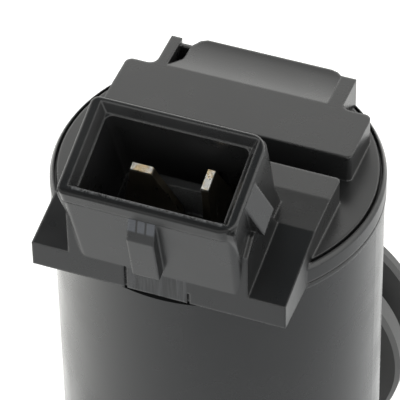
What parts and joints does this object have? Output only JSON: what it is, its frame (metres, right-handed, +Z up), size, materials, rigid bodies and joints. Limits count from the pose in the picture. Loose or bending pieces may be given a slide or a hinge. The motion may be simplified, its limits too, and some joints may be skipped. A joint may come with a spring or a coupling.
{
  "type": "windshield washer pump",
  "caption": "Upright electric washer pump: round motor housing on a flat pump end, tilted two-blade socket on its cap, rubber-sealed push-in inlet behind, barbed hose outlet at the side.",
  "frame": {"origin": "where the motor's axis meets the flat base", "axes": "+Z up along the motor's axis, +Y the way the inlet points, so the connector socket leans towards -Y, and the hose outlet points along -X"},
  "size_m": [0.0491, 0.0544, 0.0779],
  "materials": {
    "cap_plastic": "satin black moulded nylon",
    "housing_plastic": "smooth semi-gloss black moulding",
    "grommet_rubber": "soft black rubber",
    "seal_rubber": "black rubber",
    "blade_brass": "tinned brass, bright at the tips",
    "cover_plastic": "black moulded nylon",
    "stainless": "ground stainless steel",
    "impeller_plastic": "natural acetal",
    "yoke_steel": "zinc-plated drawn steel",
    "ferrite": "dark sintered ferrite",
    "bush_bronze": "sintered bronze",
    "card_plastic": "brown phenolic moulding",
    "carbon": "graphite",
    "spring_bronze": "phosphor bronze strip",
    "copper": "enamelled and drawn copper",
    "core_steel": "stacked electrical steel",
    "washer_plastic": "natural nylon"
  },
  "bodies": {
    "pump_body": {"connector_cap": "cap_plastic", "motor_housing": "housing_plastic", "inlet_grommet": "grommet_rubber", "blade_left": "blade_brass", "blade_right": "blade_brass", "chamber_cover": "cover_plastic", "cover_ring": "seal_rubber", "cap_ring": "seal_rubber", "eye_plate": "cover_plastic", "shaft_seal": "seal_rubber", "seal_retainer": "stainless", "motor_yoke": "yoke_steel", "magnet_right": "ferrite", "magnet_left": "ferrite", "lower_bush": "bush_bronze", "upper_bush": "bush_bronze", "brush_card": "card_plastic", "brush_right": "carbon", "brush_left": "carbon", "brush_spring_right": "spring_bronze", "brush_spring_left": "spring_bronze", "motor_lead_left": "copper", "motor_lead_right": "copper"},
    "rotor": {"motor_shaft": "stainless", "armature_core": "core_steel", "armature_coil_1": "copper", "armature_coil_2": "copper", "armature_coil_3": "copper", "commutator_hub": "card_plastic", "commutator_segment_1": "copper", "commutator_segment_2": "copper", "commutator_segment_3": "copper", "lower_washer": "washer_plastic", "upper_washer": "washer_plastic", "impeller": "impeller_plastic"}
  },
  "joints": [
    {"name": "rotor_spin", "type": "hinge", "parent": "pump_body", "child": "rotor", "pos_m": [0, 0, 0.03], "axis": [0, 0, 1], "continuous": true}
  ]
}
